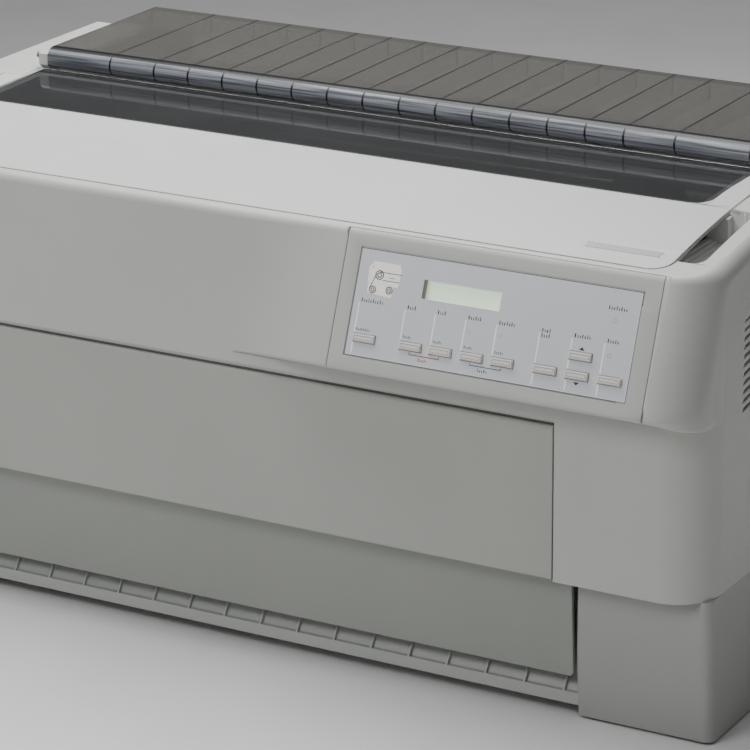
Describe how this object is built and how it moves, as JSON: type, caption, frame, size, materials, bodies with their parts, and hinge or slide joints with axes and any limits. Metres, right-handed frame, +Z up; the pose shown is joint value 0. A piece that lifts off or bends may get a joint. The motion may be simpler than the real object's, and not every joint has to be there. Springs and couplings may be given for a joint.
{
  "type": "dot matrix printer",
  "caption": "Wide impact printer with hinged printer cover, smoked paper cover, drop-down front cover, tilted control panel, pedestals and pin-feed mechanism.",
  "frame": {"origin": "centre of the bounding box's footprint, on the floor under the rubber feet", "axes": "+X to the right as seen from the front, +Y to the back, +Z up"},
  "size_m": [0.7, 0.3814, 0.363],
  "materials": {
    "main_case": "fine-grained warm grey moulding",
    "left_pedestal": "fine-grained grey",
    "right_pedestal": "fine-grained grey",
    "rubber_feet": "matt black",
    "base_pan": "zinc-coated sheet",
    "case_screws": "plated",
    "front_cover": "fine-grained grey",
    "lower_panel": "fine-grained grey",
    "paper_tray": "fine-grained grey",
    "printer_cover": "fine-grained light grey",
    "cover_window": "polished smoked sheet",
    "tear_off_bar": "clear moulded edge",
    "badge_plate": "satin, blank",
    "rear_cover": "polished smoked moulding",
    "hinge_bosses": "light grey",
    "panel_bezel": "fine-grained warm grey",
    "panel_overlay": "printed film, satin",
    "display_window": "pale green, glossy",
    "panel_board": "green circuit board",
    "indicator_leds": "milky lens",
    "key_tractor_select": "warm white moulding",
    "key_font": "warm white moulding",
    "key_pitch": "warm white moulding",
    "key_tear_off": "warm white moulding",
    "key_top_of_form": "warm white moulding",
    "key_line_feed": "warm white moulding",
    "key_micro_up": "warm white moulding",
    "key_micro_down": "warm white moulding",
    "key_pause": "warm white moulding",
    "ac_inlet": "black",
    "power_rocker": "black",
    "port_plate": "plated sheet",
    "parallel_port": "plated shell",
    "serial_port": "plated shell",
    "side_frame_left": "zinc-coated plate",
    "side_frame_right": "zinc-coated plate",
    "tie_bars": "drawn bar",
    "guide_shaft": "ground and plated",
    "support_rail": "ground and plated",
    "carriage": "black glass-filled",
    "print_head": "dark finned casting",
    "ribbon_cartridge": "black",
    "ribbon_band": "inked woven band",
    "carriage_motor": "black",
    "drive_pulley": "turned",
    "idler_pulley": "natural white",
    "timing_belt": "black",
    "platen_roller": "ground black",
    "platen_shaft": "turned, with gear",
    "feed_motor": "black",
    "feed_pinion": "natural white",
    "feed_belt": "black",
    "rear_tractor_shaft": "turned, with gear",
    "front_tractor_shaft": "turned",
    "front_tractors": "black",
    "rear_tractors": "black",
    "tractor_lid_left": "dark grey",
    "tractor_lid_right": "dark grey",
    "main_board": "green circuit board",
    "power_supply": "zinc-coated cover"
  },
  "bodies": {
    "case_body": {"main_case": "main_case", "left_pedestal": "left_pedestal", "right_pedestal": "right_pedestal", "rubber_feet": "rubber_feet", "base_pan": "base_pan", "case_screws": "case_screws", "lower_panel": "lower_panel", "paper_tray": "paper_tray", "hinge_bosses": "hinge_bosses", "panel_bezel": "panel_bezel", "panel_overlay": "panel_overlay", "display_window": "display_window", "panel_board": "panel_board", "indicator_leds": "indicator_leds", "ac_inlet": "ac_inlet", "port_plate": "port_plate", "parallel_port": "parallel_port", "serial_port": "serial_port", "side_frame_left": "side_frame_left", "side_frame_right": "side_frame_right", "tie_bars": "tie_bars", "guide_shaft": "guide_shaft", "support_rail": "support_rail", "ribbon_cartridge": "ribbon_cartridge", "ribbon_band": "ribbon_band", "carriage_motor": "carriage_motor", "timing_belt": "timing_belt", "feed_motor": "feed_motor", "feed_belt": "feed_belt", "front_tractors": "front_tractors", "rear_tractors": "rear_tractors", "main_board": "main_board", "power_supply": "power_supply"},
    "printer_cover_body": {"printer_cover": "printer_cover", "cover_window": "cover_window", "tear_off_bar": "tear_off_bar", "badge_plate": "badge_plate"},
    "front_cover_body": {"front_cover": "front_cover"},
    "rear_cover_body": {"rear_cover": "rear_cover"},
    "rocker_body": {"power_rocker": "power_rocker"},
    "carriage_body": {"carriage": "carriage", "print_head": "print_head"},
    "drive_pulley_body": {"drive_pulley": "drive_pulley"},
    "idler_pulley_body": {"idler_pulley": "idler_pulley"},
    "platen_body": {"platen_roller": "platen_roller", "platen_shaft": "platen_shaft"},
    "feed_pinion_body": {"feed_pinion": "feed_pinion"},
    "rear_tractor_shaft_body": {"rear_tractor_shaft": "rear_tractor_shaft"},
    "front_tractor_shaft_body": {"front_tractor_shaft": "front_tractor_shaft"},
    "tractor_lid_left_body": {"tractor_lid_left": "tractor_lid_left"},
    "tractor_lid_right_body": {"tractor_lid_right": "tractor_lid_right"},
    "key_tractor_select_body": {"key_tractor_select": "key_tractor_select"},
    "key_font_body": {"key_font": "key_font"},
    "key_pitch_body": {"key_pitch": "key_pitch"},
    "key_tear_off_body": {"key_tear_off": "key_tear_off"},
    "key_top_of_form_body": {"key_top_of_form": "key_top_of_form"},
    "key_line_feed_body": {"key_line_feed": "key_line_feed"},
    "key_micro_up_body": {"key_micro_up": "key_micro_up"},
    "key_micro_down_body": {"key_micro_down": "key_micro_down"},
    "key_pause_body": {"key_pause": "key_pause"}
  },
  "joints": [
    {"name": "printer_cover_hinge", "type": "hinge", "parent": "case_body", "child": "printer_cover_body", "pos_m": [0, 0.02, 0.341], "axis": [-1, 0, 0], "range_deg": [0, 60]},
    {"name": "front_cover_hinge", "type": "hinge", "parent": "case_body", "child": "front_cover_body", "pos_m": [0, -0.1585, 0.1115], "axis": [1, 0, 0], "range_deg": [0, 85]},
    {"name": "rear_cover_hinge", "type": "hinge", "parent": "case_body", "child": "rear_cover_body", "pos_m": [0, 0.044, 0.355], "axis": [1, 0, 0], "range_deg": [0, 60]},
    {"name": "power_rocker_hinge", "type": "hinge", "parent": "case_body", "child": "rocker_body", "pos_m": [-0.228, 0.1826, 0.15], "axis": [0, 0, -1], "range_deg": [0, 20]},
    {"name": "key_tractor_select_press", "type": "slide", "parent": "case_body", "child": "key_tractor_select_body", "axis": [0, 0.9317, -0.3633], "range_m": [0, 0.001], "stiffness_N_per_m": 400, "springref_m": -0.0005},
    {"name": "key_font_press", "type": "slide", "parent": "case_body", "child": "key_font_body", "axis": [0, 0.9317, -0.3633], "range_m": [0, 0.001], "stiffness_N_per_m": 400, "springref_m": -0.0005},
    {"name": "key_pitch_press", "type": "slide", "parent": "case_body", "child": "key_pitch_body", "axis": [0, 0.9317, -0.3633], "range_m": [0, 0.001], "stiffness_N_per_m": 400, "springref_m": -0.0005},
    {"name": "key_tear_off_press", "type": "slide", "parent": "case_body", "child": "key_tear_off_body", "axis": [0, 0.9317, -0.3633], "range_m": [0, 0.001], "stiffness_N_per_m": 400, "springref_m": -0.0005},
    {"name": "key_top_of_form_press", "type": "slide", "parent": "case_body", "child": "key_top_of_form_body", "axis": [0, 0.9317, -0.3633], "range_m": [0, 0.001], "stiffness_N_per_m": 400, "springref_m": -0.0005},
    {"name": "key_line_feed_press", "type": "slide", "parent": "case_body", "child": "key_line_feed_body", "axis": [0, 0.9317, -0.3633], "range_m": [0, 0.001], "stiffness_N_per_m": 400, "springref_m": -0.0005},
    {"name": "key_micro_up_press", "type": "slide", "parent": "case_body", "child": "key_micro_up_body", "axis": [0, 0.9317, -0.3633], "range_m": [0, 0.001], "stiffness_N_per_m": 400, "springref_m": -0.0005},
    {"name": "key_micro_down_press", "type": "slide", "parent": "case_body", "child": "key_micro_down_body", "axis": [0, 0.9317, -0.3633], "range_m": [0, 0.001], "stiffness_N_per_m": 400, "springref_m": -0.0005},
    {"name": "key_pause_press", "type": "slide", "parent": "case_body", "child": "key_pause_body", "axis": [0, 0.9317, -0.3633], "range_m": [0, 0.001], "stiffness_N_per_m": 400, "springref_m": -0.0005},
    {"name": "carriage_slide", "type": "slide", "parent": "case_body", "child": "carriage_body", "axis": [1, 0, 0], "range_m": [-0.17, 0.17]},
    {"name": "drive_pulley_spin", "type": "hinge", "parent": "case_body", "child": "drive_pulley_body", "pos_m": [-0.257, -0.02, 0.244], "axis": [0, 0, 1], "range_deg": [-850, 850]},
    {"name": "idler_pulley_spin", "type": "hinge", "parent": "case_body", "child": "idler_pulley_body", "pos_m": [0.257, -0.02, 0.244], "axis": [0, 0, 1], "range_deg": [-850, 850]},
    {"name": "platen_spin", "type": "hinge", "parent": "case_body", "child": "platen_body", "pos_m": [0, 0.062, 0.292], "axis": [1, 0, 0], "continuous": true},
    {"name": "feed_pinion_spin", "type": "hinge", "parent": "case_body", "child": "feed_pinion_body", "pos_m": [0.285, 0.062, 0.256], "axis": [1, 0, 0], "continuous": true},
    {"name": "rear_tractor_spin", "type": "hinge", "parent": "case_body", "child": "rear_tractor_shaft_body", "pos_m": [0, 0.11, 0.292], "axis": [1, 0, 0], "continuous": true},
    {"name": "front_tractor_spin", "type": "hinge", "parent": "case_body", "child": "front_tractor_shaft_body", "pos_m": [0, -0.104, 0.165], "axis": [1, 0, 0], "continuous": true},
    {"name": "tractor_lid_right_hinge", "type": "hinge", "parent": "case_body", "child": "tractor_lid_right_body", "pos_m": [0.1852, -0.1216, 0.174], "axis": [0, 0, 1], "range_deg": [0, 95]},
    {"name": "tractor_lid_left_hinge", "type": "hinge", "parent": "case_body", "child": "tractor_lid_left_body", "pos_m": [-0.1852, -0.1216, 0.174], "axis": [0, 0, -1], "range_deg": [0, 95]}
  ],
  "couplings": [
    {"joint": "drive_pulley_spin", "follows": "carriage_slide", "rad_per_m": 85.47},
    {"joint": "idler_pulley_spin", "follows": "carriage_slide", "rad_per_m": 85.47},
    {"joint": "feed_pinion_spin", "follows": "platen_spin", "ratio": -2},
    {"joint": "rear_tractor_spin", "follows": "platen_spin", "ratio": -1},
    {"joint": "front_tractor_spin", "follows": "platen_spin", "ratio": -2}
  ]
}
